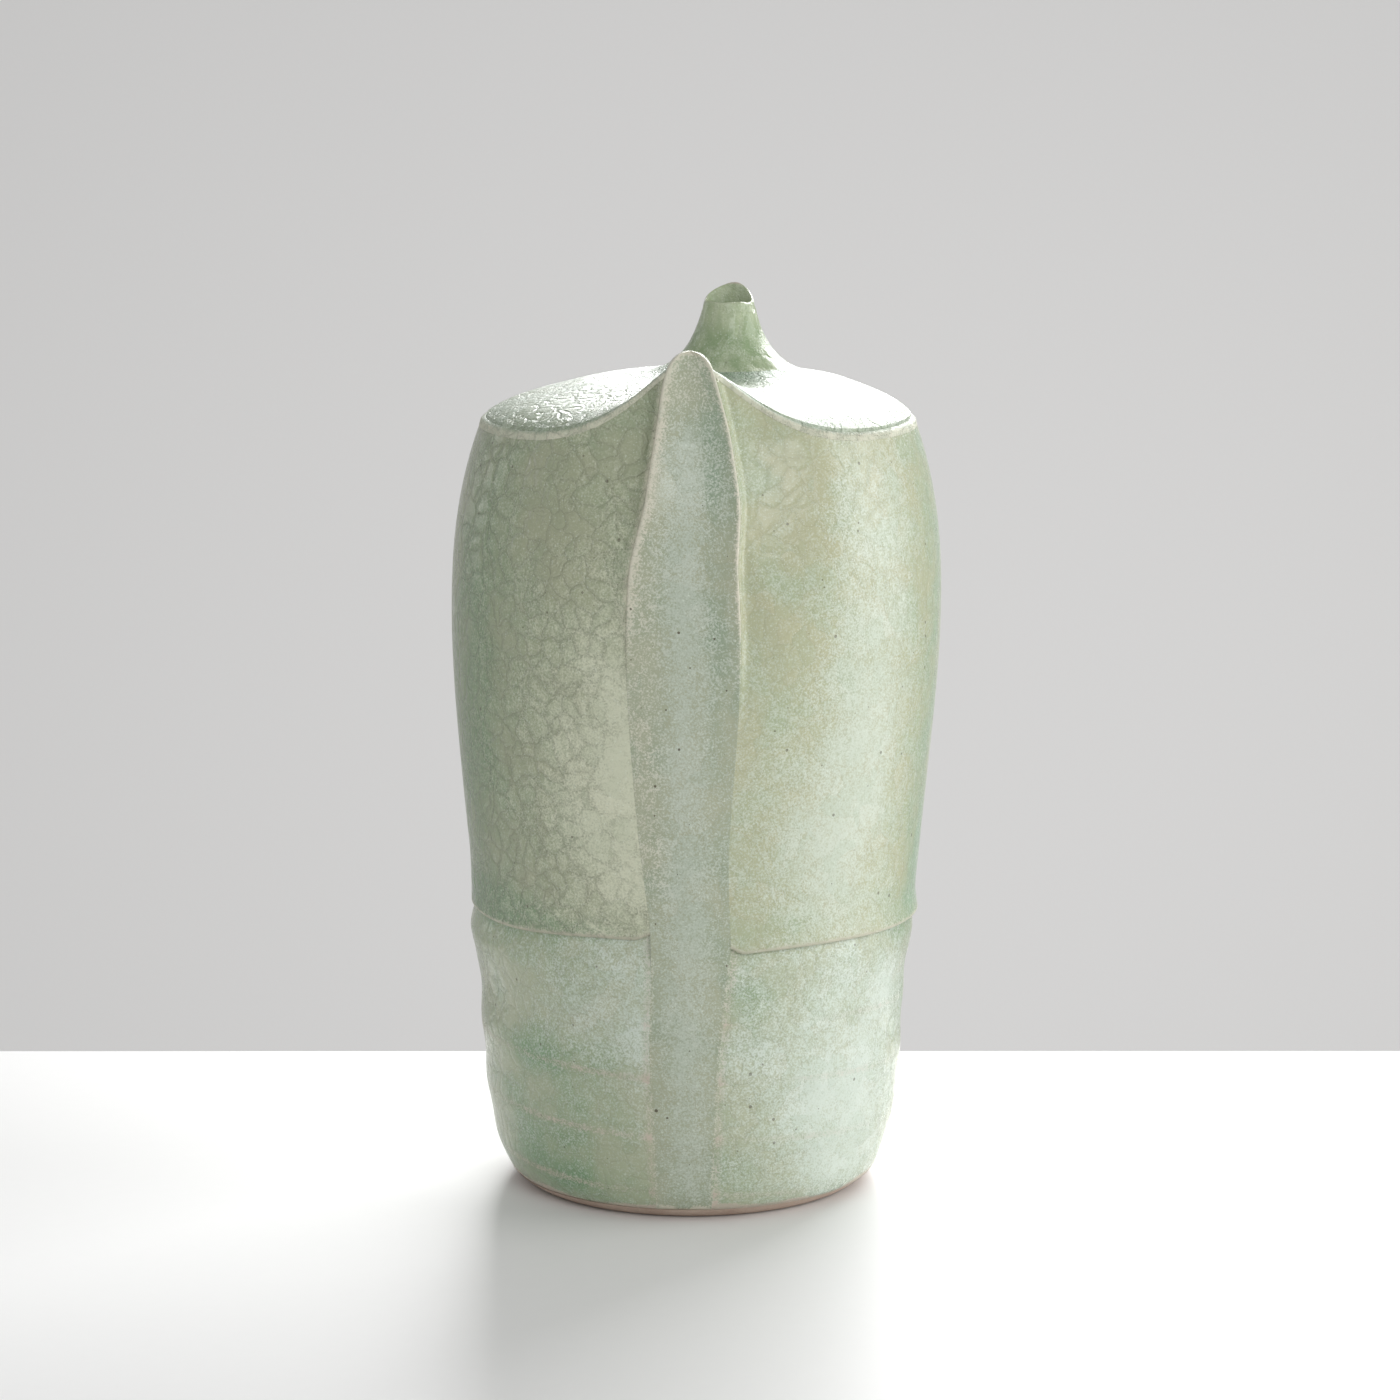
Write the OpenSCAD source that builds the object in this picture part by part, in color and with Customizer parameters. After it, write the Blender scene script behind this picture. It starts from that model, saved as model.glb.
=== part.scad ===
// Sake bottle: a hand-built stoneware bottle, made of clay members luted edge to edge.
// +Z is up, the origin is the middle of the underside, and the front, with its tongue, faces -Y.
// Directions around the bottle are angles from the front, turning towards +X.

/* [Heights] */
// Height of the ledge where the upper wall overhangs the lower one
ledge_z = 53.5; // [48:0.5:60]
// Height of the widest part of the upper wall
belly_z = 112; // [104:1:118]
// Height of the top's edge, away from the tongue
rim_z = 148.8; // [142:0.2:156]
// How far the top's edge would sweep up in the middle of the front
sweep_rise = 16.6; // [13:0.2:18]
// How far the tongue stands above the swept-up edge
tongue_rise = 3.3; // [2:0.1:5]

/* [Widths] */
// Radius of the flat underside
foot_r = 31; // [29:0.5:33]
// Radius of the lower wall just under the ledge
waist_r = 42.7; // [41.5:0.1:43]
// Radius of the upper wall's lower lip
lip_r = 43; // [43:0.1:45]
// Greatest radius of the upper wall
belly_r = 46.8; // [45:0.1:50]
// Radius of the top's edge
rim_r = 41; // [39:0.1:43]
// Sideways lean of the upper wall for each millimetre of height
lean = 0.0125; // [0:0.0005:0.015]

/* [Clay] */
// Thickness of the walls
wall_t = 4; // [3:0.1:4.6]
// Thickness of the top
top_t = 3; // [2.5:0.1:3.5]
// Thickness of the floor
floor_t = 5; // [4:0.1:6]
// Height of the bare outer edge of the floor
bare_h = 2.2; // [1.5:0.1:3]

/* [Strip] */
// Half of the strip's width at the foot
strip_foot_w = 5.2; // [4:0.1:6]
// Half of the strip's width at the ledge
strip_ledge_w = 7.4; // [6.5:0.1:8.5]
// Half of the strip's width at the belly
strip_belly_w = 10.7; // [9:0.1:11.5]
// Half of the strip's width in the tongue
tongue_w = 4.8; // [4.2:0.1:6]
// Depth of the groove down the middle of the tongue
groove_d = 0.9; // [0:0.1:1.5]
// Depth of the hollows beside the tongue
hollow_d = 4.2; // [2:0.1:5]

/* [Neck] */
// Place of the neck to the right of the middle
neck_x = 7; // [4:0.5:8]
// Place of the neck behind the middle
neck_y = 5; // [2:0.5:7]
// Height of the front of the mouth above the top's edge
mouth_h = 21.4; // [20.5:0.1:24]
// How far the back lip rises above the front of the mouth
back_lip_h = 3; // [2:0.1:4]
// Radius of the pouring bore
bore_r = 3.2; // [2.6:0.1:3.6]
// Length of the pouring bore, below the front of the mouth
bore_l = 8.4; // [7:0.1:9]
// Outer radius of the neck at the mouth
mouth_r = 4.6; // [4.4:0.1:5]
// Radius of the neck's flared skirt, where it fills the hole in the top
skirt_r = 12; // [11:0.5:13]

/* [Hidden] */
$fn = 96;

GLAZE = "#a9bda2";
PALE_GLAZE = "#c3d2c0";
BLUE_GLAZE = "#b4c8c0";
DEEP_GLAZE = "#8fa88b";
BARE_CLAY = "#c9b3a2";

strip_x = -0.7;         // middle of the strip
sweep_angle = 18.6;     // how far round the swept-up edge spreads
hollow_angle = 15;      // direction of the middle of each hollow
hollow_spread = 11;     // how far round each hollow spreads
hollow_foot_z = 96;     // height where the hollows fade out
cover_rise = 11.5;      // height that the top's slope would reach at the neck's axis
bulge_h = 2.4;          // how full the top's bulge is
flare_rise = 9.2;       // height of the neck's flare above that slope
flare_r = 5.3;          // radius where the flare turns into the neck
flare_spread = 2.9;     // spread of the flare
funnel_r = 9;           // radius of the funnel that leads from the bottle into the bore
rabbet_w = 3;           // width of the step that the walls stand on
foot_curve_w = 3.5;     // how far the outside curves out just above the foot
foot_curve_h = 3;       // height of that curve
heel_w = 5.6;           // how far the heel then swells
heel_h = 9.5;           // height of the heel
lip_turn = 20;          // direction of the back lip, from straight back towards +X

foot_rows = 14;         // facets up the lower wall
panel_rows = 16;        // facets up a panel
panel_columns = 20;     // facets across a panel
strip_columns = 8;      // facets across the strip
tongue_rows = 6;        // facets up the tongue
top_rings = 6;          // facets across the top, from the skirt to the edge

tongue_angle = asin(tongue_w / rim_r);
sweep_z = swept_edge(tongue_angle);
head_z = sweep_z - top_t;
neck_base_z = rim_z + cover_rise * (1 - skirt_r / rim_r);
mouth_z = rim_z + mouth_h;
bore_z = mouth_z - bore_l;
rabbet_r = lower_r(bare_h) - rabbet_w;

function mix(a, b, t) = a + (b - a) * t;
function smooth(v) = let (t = min(1, max(0, v))) t * t * (3 - 2 * t);
function steps(n) = [for (i = [0 : n]) i / n];
function reversed(list) = [for (i = [len(list) - 1 : -1 : 0]) list[i]];

// ---- outer shape ----

// Middle of the leaning upper wall
function middle(z) = lean * max(0, z - ledge_z);

// Outer radius of the lower wall: a rounded foot, a heel, then a slow opening out towards the ledge,
// with soft throwing marks
function lower_r(z) =
    foot_r + foot_curve_w * sqrt(min(1, z / foot_curve_h))
    + heel_w * (1 - exp(-pow(z / heel_h, 1.3)))
    + (waist_r - foot_r - foot_curve_w - heel_w) * pow(z / ledge_z, 2.4)
    + 0.2 * sin(z * 16);

// Outer radius of the upper wall: a slow swelling, then a shoulder that turns in to the top's edge
function upper_r(z) =
    z > belly_z
        ? belly_r - (belly_r - rim_r) * pow((min(z, rim_z) - belly_z) / (rim_z - belly_z), 2.4)
        : belly_r - (belly_r - lip_r) * swelling((belly_z - z) / (belly_z - ledge_z));
function swelling(t) = 0.6 * smooth(t) + 0.4 * t * t;

// The clay is pushed in on both sides of the tongue, more towards the top
function hollow(angle, z) =
    hollow_d * smooth((z - hollow_foot_z) / (rim_z - hollow_foot_z))
    * exp(-pow((angle - hollow_angle) / hollow_spread, 2));
function wall_r(angle, z) = upper_r(z) - hollow(angle, z);

// Height of the top's edge at an angle from the front
function swept_edge(angle) = rim_z + sweep_rise * exp(-pow(angle / sweep_angle, 1.5));

// Half of the strip's width at each height
function strip_w(z) =
    z < ledge_z ? mix(strip_foot_w, strip_ledge_w, (z - bare_h) / (ledge_z - bare_h))
    : z < belly_z ? mix(strip_ledge_w, strip_belly_w, smooth((z - ledge_z) / (belly_z - ledge_z)))
    : mix(strip_belly_w, tongue_w, pow(min(1, (z - belly_z) / (head_z - belly_z)), 2));

// Outer radius of the panels where they meet the strip
function edge_r(z) = wall_r(asin(strip_w(z) / upper_r(z)), z);

// ---- solids from rows of points ----

// Two triangles for each cell between two rows, where a row closes on itself
function band(a, b, count) = [
    for (j = [0 : count - 1])
        let (k = (j + 1) % count)
        each [[a + j, b + j, b + k], [a + j, b + k, a + k]]];
// Triangles of a wall whose rows run along its outer face and back along its inner one
function wall_faces(rows, count) = concat(
    [for (i = [0 : rows - 2]) each band(i * count, (i + 1) * count, count)],
    [for (j = [0 : count / 2 - 2])
        let (top = (rows - 1) * count, across = count - 1 - j)
        each [[j, j + 1, across], [j + 1, across - 1, across],
              [top + j, top + across, top + j + 1], [top + j + 1, top + across, top + across - 1]]]);
// Triangles of a ring whose rows go all the way round its section
function ring_faces(rows, count) =
    [for (i = [0 : rows - 1]) each band((i + 1) % rows * count, i * count, count)];

// ---- base slab ----
module base_slab() {
    rim = [for (t = steps(6)) [lower_r(t * bare_h), t * bare_h]];
    step = [[rabbet_r, bare_h], [rabbet_r, floor_t], [0, floor_t]];
    color(BARE_CLAY) rotate_extrude() polygon(concat([[0, 0]], rim, step));
}

// ---- lower wall ----
foot_heights = [for (t = steps(foot_rows)) mix(bare_h, ledge_z, t)];
module lower_ring() {
    outside = [for (z = foot_heights) [lower_r(z), z]];
    inside = [[lower_inner_r(ledge_z), ledge_z], [rabbet_r, floor_t], [rabbet_r, bare_h]];
    rotate_extrude() polygon(concat(outside, inside));
}
function lower_inner_r(z) =
    mix(rabbet_r, waist_r - wall_t, max(0, z - floor_t) / (ledge_z - floor_t));
module strip_slot() {
    half = [[strip_foot_w, bare_h], [strip_ledge_w, ledge_z]];
    outline = concat(half, [for (p = reversed(half)) [-p[0], p[1]]]);
    translate([strip_x, 0, 0]) rotate([90, 0, 0]) linear_extrude(waist_r + wall_t) polygon(outline);
}
module lower_wall() {
    color(GLAZE) difference() {
        lower_ring();
        strip_slot();
    }
}

// ---- panels ----

// A point of a panel: side is 1 on the right and -1 on the left, share runs from 0 at the strip to 1 at
// the seam behind, rise from 0 at the ledge to 1 under the top, and depth is below the outer face.
function panel_point(side, share, rise, depth) =
    let (z = mix(ledge_z, swept_edge(mix(tongue_angle, 180, share)) - top_t, rise),
         beside = asin((strip_w(z) + side * (strip_x - middle(z))) / (edge_r(z) - depth)),
         angle = mix(beside, 180, share),
         r = (share == 0 ? edge_r(z) : wall_r(angle, z)) - depth)
    [middle(z) + side * r * sin(angle), -r * cos(angle), z];
// Narrow columns beside the strip and wide ones behind
panel_shares = [for (t = steps(panel_columns)) pow(t, 1.4)];
function panel_face(side, rise, depth) = [for (share = panel_shares) panel_point(side, share, rise, depth)];
module panel(side) {
    rows = [for (rise = steps(panel_rows))
        concat(panel_face(side, rise, 0), reversed(panel_face(side, rise, wall_t)))];
    mirrored = side < 0;
    faces = wall_faces(len(rows), len(rows[0]));
    polyhedron([for (row = rows) each row], mirrored ? [for (f = faces) reversed(f)] : faces);
}
module right_panel() {
    color(PALE_GLAZE) panel(1);
}
module left_panel() {
    color(GLAZE) panel(-1);
}

// ---- front strip ----

// Near the ledge the strip's face passes smoothly from the lower wall to the upper one
function past_ledge(z) = smooth((z - ledge_z + 6) / 12);
function strip_outer_r(z) =
    mix(lower_r(min(z, ledge_z)), upper_r(max(z, ledge_z)), past_ledge(z));
function strip_inner_r(z) =
    mix(lower_inner_r(min(z, ledge_z)), upper_r(max(z, ledge_z)) - wall_t, past_ledge(z));
function groove(z) = groove_d * smooth((z - ledge_z - 20) / 70);
// One row of the strip: across its outer face, with its groove, and back across its inner one
function strip_row(z, w, outer, inner, hollowed) =
    let (x = [for (u = steps(strip_columns)) strip_x + mix(-w, w, u)],
         y = function(px, r) -sqrt(pow(r, 2) - pow(px - middle(z), 2)))
    concat(
        [for (px = x) [px, y(px, outer - hollowed * (1 - pow((px - strip_x) / w, 2))), z]],
        [for (px = reversed(x)) [px, y(px, inner), z]]);
module front_strip() {
    heights = concat(foot_heights, [for (i = [1 : panel_rows]) mix(ledge_z, head_z, i / panel_rows)]);
    body = [for (z = heights)
        strip_row(z, strip_w(z), strip_outer_r(z), strip_inner_r(z), groove(z))];
    last_turn = 75;     // the tongue's outline is an arc that stops short of a point
    tongue = [for (t = steps(tongue_rows))
        strip_row(
            sweep_z + tongue_rise * sin(last_turn * t) / sin(last_turn), tongue_w * cos(last_turn * t),
            rim_r, rim_r - wall_t * mix(1, 0.5, t), groove_d)];
    rows = concat(body, tongue);
    color(BLUE_GLAZE) polyhedron([for (row = rows) each row], wall_faces(len(rows), len(rows[0])));
}

// ---- top slab ----

// The top's edge, once round: the right panel, the left one, then the notch behind the strip, which is a
// little narrower than the strip
notch_row = strip_row(sweep_z, 0.98 * tongue_w, rim_r, rim_r - wall_t, 0);
behind_strip = [for (j = [2 * strip_columns + 1 : -1 : strip_columns + 1]) notch_row[j]];
function both_panels(depth) = concat(
    [for (p = panel_face(1, 1, depth)) p + [0, 0, top_t]],
    [for (j = [panel_columns - 1 : -1 : 0]) panel_face(-1, 1, depth)[j] + [0, 0, top_t]]);
top_edge = concat(both_panels(0), behind_strip);
// The same tour a wall's thickness further in, where the underside leaves the walls
seat_edge = concat(both_panels(wall_t), [for (p = behind_strip) p + [0, wall_t, 0]]);
// Directions of the matching points around the neck's skirt
edge_angles = concat(
    [for (s = panel_shares) mix(tongue_angle, 180, s)],
    [for (j = [panel_columns - 1 : -1 : 0]) 360 - mix(tongue_angle, 180, panel_shares[j])],
    [for (u = steps(strip_columns)) mix(-tongue_angle, tongue_angle, mix(0.12, 0.88, u))]);
// How far the top bulges between the skirt and the edge
function bulge(t) = bulge_h * t * (1 - pow(t, 8));
// A row of the top's upper face: t is 0 at the skirt and 1 at the edge
function top_row(t, drop) = [
    for (k = [0 : len(top_edge) - 1])
        let (hole_r = skirt_r / cos(9),
             near = [neck_x + hole_r * sin(edge_angles[k]), neck_y - hole_r * cos(edge_angles[k])],
             far = top_edge[k],
             z = mix(neck_base_z, rim_z, t) + bulge(t) + (far[2] - rim_z) * pow(t, 2.2))
        [mix(near[0], far[0], t), mix(near[1], far[1], t), z - drop]];
module top_slab() {
    shares = [for (i = [0 : top_rings - 1]) 0.72 * i / (top_rings - 1)];
    rows = concat(
        [for (t = shares) top_row(t, 0)], [top_row(1, 0)],
        [top_row(1, top_t)], [[for (p = seat_edge) p - [0, 0, top_t]]],
        [for (t = reversed(shares)) top_row(t, top_t)]);
    color(PALE_GLAZE) polyhedron([for (row = rows) each row], ring_faces(len(rows), len(top_edge)));
}

// ---- neck ----
function flare(r) = exp(-(r - flare_r) / flare_spread) - exp(-(skirt_r - flare_r) / flare_spread);
function neck_z(r) = rim_z + cover_rise * (1 - r / rim_r) + flare_rise * flare(r);
module neck_turning() {
    skirt = [for (t = steps(9)) let (r = mix(skirt_r, flare_r, t)) [r, neck_z(r)]];
    lip_z = mouth_z + back_lip_h;
    rotate_extrude() polygon(concat(
        [[skirt_r, neck_base_z - top_t]], skirt,
        [[mouth_r, mouth_z], [mouth_r, lip_z], [bore_r, lip_z], [bore_r, bore_z],
         [funnel_r, neck_base_z - top_t]]));
}
// The clay above the oblique mouth, which is level in front and rises to the back lip
module mouth_cut() {
    reach = mouth_r + 2;
    lip_z = mouth_z + back_lip_h;
    outline = [[-reach, mouth_z], [0, mouth_z], [mouth_r, lip_z], [reach, lip_z],
               [reach, lip_z + 2], [-reach, lip_z + 2]];
    rotate([0, 0, 90 - lip_turn]) rotate([90, 0, 0])
        linear_extrude(2 * reach, center = true) polygon(outline);
}
module neck() {
    color(DEEP_GLAZE) translate([neck_x, neck_y, 0]) difference() {
        neck_turning();
        mouth_cut();
    }
}

base_slab();
lower_wall();
left_panel();
right_panel();
front_strip();
top_slab();
neck();
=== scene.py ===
from math import pi, radians

import bmesh
import bpy
import numpy as np
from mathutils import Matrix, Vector


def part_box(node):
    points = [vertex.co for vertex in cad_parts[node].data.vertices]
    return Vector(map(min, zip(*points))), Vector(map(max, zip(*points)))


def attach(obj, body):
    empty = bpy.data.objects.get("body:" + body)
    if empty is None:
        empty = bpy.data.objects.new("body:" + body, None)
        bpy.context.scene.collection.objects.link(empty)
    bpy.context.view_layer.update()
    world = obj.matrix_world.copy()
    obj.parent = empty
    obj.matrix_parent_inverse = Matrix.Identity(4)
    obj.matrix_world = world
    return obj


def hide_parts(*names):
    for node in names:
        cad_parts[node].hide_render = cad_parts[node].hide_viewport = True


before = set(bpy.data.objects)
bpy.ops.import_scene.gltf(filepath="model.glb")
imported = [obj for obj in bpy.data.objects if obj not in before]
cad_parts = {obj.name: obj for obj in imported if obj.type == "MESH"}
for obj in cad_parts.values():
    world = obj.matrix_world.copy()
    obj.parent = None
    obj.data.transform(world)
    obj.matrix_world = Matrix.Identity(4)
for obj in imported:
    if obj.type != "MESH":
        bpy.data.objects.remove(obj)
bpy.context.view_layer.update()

# ---- Base slab ----
# The floor is a disc of stoneware, thrown flat on the wheel and wiped clean of glaze, so its foot
# fires to bare pinkish-beige clay. The walls are luted onto its stepped rim.

MM = 0.001
floor_top = (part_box("base_slab")[1] / MM).z
wall_foot_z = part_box("lower_wall")[0].z / MM
ledge_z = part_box("lower_wall")[1].z / MM
waist_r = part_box("lower_wall")[1].x / MM - 0.1
foot_r = 31.0


def lower_r(z):
    """Outer radius of the foot and the lower wall."""
    heel = 5.6 * (1 - np.exp(-np.power(z / 9.5, 1.3)))
    opening = (waist_r - foot_r - 9.1) * np.power(np.minimum(z, 50) / 50, 2.8)
    tuck = 0.8 * np.power(np.clip((z - 50) / 4, 0, 1), 2)
    return foot_r + 3.5 * np.sqrt(np.clip(z / 3, 0, 1)) + heel + opening - tuck


def add_node(tree, kind, inputs=None, **settings):
    """A node with its settings, whose inputs are values or other nodes' outputs."""
    node = tree.nodes.new(kind)
    for key, value in settings.items():
        setattr(node, key, value)
    for key, value in (inputs or {}).items():
        if isinstance(value, bpy.types.NodeSocket):
            tree.links.new(value, node.inputs[key])
        else:
            node.inputs[key].default_value = value
    return node


def sums(tree, operation, *values):
    """The result of a Math node."""
    return add_node(tree, "ShaderNodeMath", dict(enumerate(values)), operation=operation).outputs[0]


def wheel_tree():
    """Geometry Nodes that turn a section round the wheel's axis and leave spiral throwing marks."""
    tree = bpy.data.node_groups.new("turned_on_the_wheel", "GeometryNodeTree")
    for name, kind in (
            ("Section", "Geometry"), ("Stations", "Int"), ("Half Slot", "Float"), ("Whole Ring", "Bool"),
            ("Axis", "Vector"), ("Mark Depth", "Float"), ("Mark Pitch", "Float"),
            ("Mark Fade Height", "Float"), ("Clay", "Material")):
        tree.interface.new_socket(name, in_out="INPUT", socket_type="NodeSocket" + kind)
    tree.interface.new_socket("Solid", in_out="OUTPUT", socket_type="NodeSocketGeometry")
    given = tree.nodes.new("NodeGroupInput").outputs
    section = add_node(tree, "GeometryNodeMeshToCurve", {"Mesh": given["Section"]})
    start = sums(tree, "SUBTRACT", given["Half Slot"], pi / 2)
    sweep = sums(tree, "SUBTRACT", 2 * pi, sums(tree, "MULTIPLY", given["Half Slot"], 2))
    arc = add_node(tree, "GeometryNodeCurveArc", {
        "Resolution": given["Stations"], "Radius": MM, "Start Angle": start, "Sweep Angle": sweep})
    upright = add_node(tree, "GeometryNodeSetCurveNormal", {"Curve": arc.outputs["Curve"]}, mode="Z_UP")
    ring = add_node(tree, "GeometryNodeSetSplineCyclic", {
        "Geometry": upright.outputs["Curve"], "Cyclic": given["Whole Ring"]})
    swept = add_node(tree, "GeometryNodeCurveToMesh", {
        "Curve": ring.outputs["Geometry"], "Profile Curve": section.outputs["Curve"], "Fill Caps": True})
    closed = add_node(tree, "GeometryNodeMergeByDistance", {
        "Geometry": swept.outputs["Mesh"], "Distance": 0.002 * MM})
    position = add_node(tree, "GeometryNodeInputPosition").outputs[0]
    x, y, z = add_node(tree, "ShaderNodeSeparateXYZ", {"Vector": position}).outputs
    turn = sums(tree, "ARCTAN2", y, x)
    climb = sums(tree, "DIVIDE", sums(tree, "MULTIPLY", z, 2 * pi), given["Mark Pitch"])
    fade = add_node(tree, "ShaderNodeMapRange", {
        "Value": z, "From Min": given["Mark Fade Height"],
        "From Max": sums(tree, "MULTIPLY", given["Mark Fade Height"], 0.8)})
    wave = sums(tree, "MULTIPLY", sums(tree, "SINE", sums(tree, "ADD", climb, turn)), fade.outputs["Result"])
    level = add_node(tree, "ShaderNodeCombineXYZ", {"X": x, "Y": y}).outputs[0]
    outward = add_node(tree, "ShaderNodeVectorMath", {0: level}, operation="NORMALIZE")
    marks = add_node(tree, "ShaderNodeVectorMath", {
        0: outward.outputs[0], "Scale": sums(tree, "MULTIPLY", wave, given["Mark Depth"])}, operation="SCALE")
    reach = add_node(tree, "ShaderNodeVectorMath", {0: level}, operation="LENGTH").outputs["Value"]
    off_axis = sums(tree, "GREATER_THAN", reach, 3 * MM)
    marked = add_node(tree, "GeometryNodeSetPosition", {
        "Geometry": closed.outputs["Geometry"], "Selection": off_axis, "Offset": marks.outputs[0]})
    placed = add_node(tree, "GeometryNodeSetPosition", {
        "Geometry": marked.outputs["Geometry"], "Offset": given["Axis"]})
    real = add_node(tree, "GeometryNodeRealizeInstances", {"Geometry": placed.outputs["Geometry"]})
    clad = add_node(tree, "GeometryNodeSetMaterial", {
        "Geometry": real.outputs["Geometry"], "Material": given["Clay"]})
    tree.links.new(clad.outputs["Geometry"], tree.nodes.new("NodeGroupOutput").inputs["Solid"])
    return tree


on_the_wheel = wheel_tree()


def plain_mesh(name, source, tree, values):
    """The plain mesh that a Geometry Nodes tree makes from the source mesh."""
    maker = bpy.data.objects.new(name + "_maker", source)
    bpy.context.scene.collection.objects.link(maker)
    modifier = maker.modifiers.new("maker", "NODES")
    modifier.node_group = tree
    for socket in tree.interface.items_tree:
        if socket.in_out == "INPUT" and socket.name in values:
            modifier[socket.identifier] = values[socket.name]
    bpy.context.view_layer.update()
    made = bpy.data.meshes.new_from_object(maker.evaluated_get(bpy.context.evaluated_depsgraph_get()))
    maker.modifiers.remove(modifier)
    bpy.data.objects.remove(maker)
    return made


def turned(name, outline, material, stations=240, half_slot=None, axis=(0, 0), marks=(0, 8, 200)):
    """A solid turned from a closed outline of (radius, height) points in millimetres."""
    source = bpy.data.meshes.new(name)
    points = [((r - 1) * MM, -z * MM, 0) for r, z in outline]
    source.from_pydata(points, [(i, (i + 1) % len(points)) for i in range(len(points))], [])
    whole = half_slot is None
    return plain_mesh(name, source, on_the_wheel, {
        "Stations": stations, "Half Slot": pi / stations if whole else half_slot, "Whole Ring": whole,
        "Axis": (axis[0] * MM, axis[1] * MM, 0), "Mark Depth": marks[0] * MM, "Mark Pitch": marks[1] * MM,
        "Mark Fade Height": marks[2] * MM, "Clay": material})


def clay_piece(name, node, mesh, crease=50):
    """A finished piece of the bottle that stands for its CAD node."""
    shape = bmesh.new()
    shape.from_mesh(mesh)
    bmesh.ops.recalc_face_normals(shape, faces=shape.faces)
    shape.to_mesh(mesh)
    shape.free()
    mesh.shade_smooth()
    mesh.set_sharp_from_angle(angle=radians(crease))
    piece = bpy.data.objects.new(name, mesh)
    mesh.name = name
    bpy.context.scene.collection.objects.link(piece)
    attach(piece, "root")
    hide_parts(node)
    return piece


def shader_group(name, inputs, outputs):
    """An empty shader node group with named sockets, and its inner input and output nodes."""
    group = bpy.data.node_groups.new(name, "ShaderNodeTree")
    for label, kind, value in inputs:
        socket = group.interface.new_socket(label, in_out="INPUT", socket_type="NodeSocket" + kind)
        if value is not None:
            socket.default_value = value
    for label, kind in outputs:
        group.interface.new_socket(label, in_out="OUTPUT", socket_type="NodeSocket" + kind)
    return group, group.nodes.new("NodeGroupInput").outputs, group.nodes.new("NodeGroupOutput").inputs


def mixed(tree, factor, low, high):
    """A colour mixed from two colours."""
    node = add_node(tree, "ShaderNodeMix", {0: factor}, data_type="RGBA")
    for socket, value in ((node.inputs[6], low), (node.inputs[7], high)):
        if isinstance(value, bpy.types.NodeSocket):
            tree.links.new(value, socket)
        else:
            socket.default_value = (*value, 1)
    return node.outputs[2]


def ramped(tree, value, low, high):
    """0 below low and 1 above high, with a smooth passage between them."""
    passage = add_node(
        tree, "ShaderNodeMapRange", {0: value, 1: low, 2: high}, interpolation_type="SMOOTHSTEP")
    return passage.outputs[0]


def noise(tree, place, scale, detail, roughness=0.5):
    """The value of a noise pattern."""
    return add_node(tree, "ShaderNodeTexNoise", {
        "Vector": place, "Scale": scale, "Detail": detail, "Roughness": roughness}).outputs[0]


# Fired grit: a fine grain, pinholes and pale specks, in the clay and in the glaze alike. The pale specks are
# partly bubbles in the glaze and partly painted glints.
grit, given, out = shader_group(
    "fired_grit", [("Place", "Vector", None), ("Pinhole Spacing", "Float", 2.2)],
    [("Grain", "Float"), ("Pinholes", "Float"), ("Pale Specks And Glints", "Float"), ("Clouds", "Float")])
grain = noise(grit, given["Place"], 2600, 2, 0.7)
clots = noise(grit, given["Place"], 750, 3, 0.6)
mealy = sums(grit, "ADD", sums(grit, "MULTIPLY", grain, 0.7), sums(grit, "MULTIPLY", clots, 0.3))
grit.links.new(ramped(grit, mealy, 0.36, 0.64), out["Grain"])
clouds = noise(grit, given["Place"], 95, 5, 0.6)
grit.links.new(ramped(grit, clouds, 0.3, 0.7), out["Clouds"])
spacing = sums(grit, "DIVIDE", 1000, given["Pinhole Spacing"])
holes = add_node(grit, "ShaderNodeTexVoronoi", {"Vector": given["Place"], "Scale": spacing})
hole_size = add_node(grit, "ShaderNodeSeparateColor", {0: holes.outputs["Color"]})
hole_edge = sums(grit, "MULTIPLY", sums(grit, "POWER", hole_size.outputs[0], 5), 0.16)
grit.links.new(sums(grit, "LESS_THAN", holes.outputs["Distance"], hole_edge), out["Pinholes"])
specks = add_node(grit, "ShaderNodeTexVoronoi", {"Vector": given["Place"], "Scale": 2000})
speck_size = add_node(grit, "ShaderNodeSeparateColor", {0: specks.outputs["Color"]})
speck_edge = sums(grit, "MULTIPLY", sums(grit, "POWER", speck_size.outputs[0], 2), 0.36)
grit.links.new(sums(grit, "LESS_THAN", specks.outputs["Distance"], speck_edge), out["Pale Specks And Glints"])


def clean_material(name):
    """A new material's node tree, with nothing in it but its output node."""
    material = bpy.data.materials.new(name)
    material.use_nodes = True
    tree = material.node_tree
    tree.nodes.clear()
    return material, tree, tree.nodes.new("ShaderNodeOutputMaterial").inputs["Surface"]


def bare_clay_material():
    material, tree, surface = clean_material("bare_stoneware")
    place = tree.nodes.new("ShaderNodeTexCoord").outputs["Object"]
    fired = add_node(tree, "ShaderNodeGroup", node_tree=grit)
    tree.links.new(place, fired.inputs["Place"])
    toasted = mixed(tree, fired.outputs["Clouds"], (0.43, 0.31, 0.245), (0.56, 0.44, 0.36))
    gritty = mixed(tree, sums(tree, "MULTIPLY", fired.outputs["Grain"], 0.35), toasted, (0.63, 0.53, 0.45))
    pitted = mixed(tree, fired.outputs["Pinholes"], gritty, (0.10, 0.07, 0.05))
    height = sums(tree, "SUBTRACT", fired.outputs["Grain"], fired.outputs["Pinholes"])
    bump = add_node(tree, "ShaderNodeBump", {"Height": height, "Strength": 0.35, "Distance": 0.15 * MM})
    clay = add_node(tree, "ShaderNodeBsdfPrincipled", {
        "Base Color": pitted, "Roughness": 0.82, "Normal": bump.outputs[0], "Specular IOR Level": 0.3})
    tree.links.new(clay.outputs[0], surface)
    return material


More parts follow.
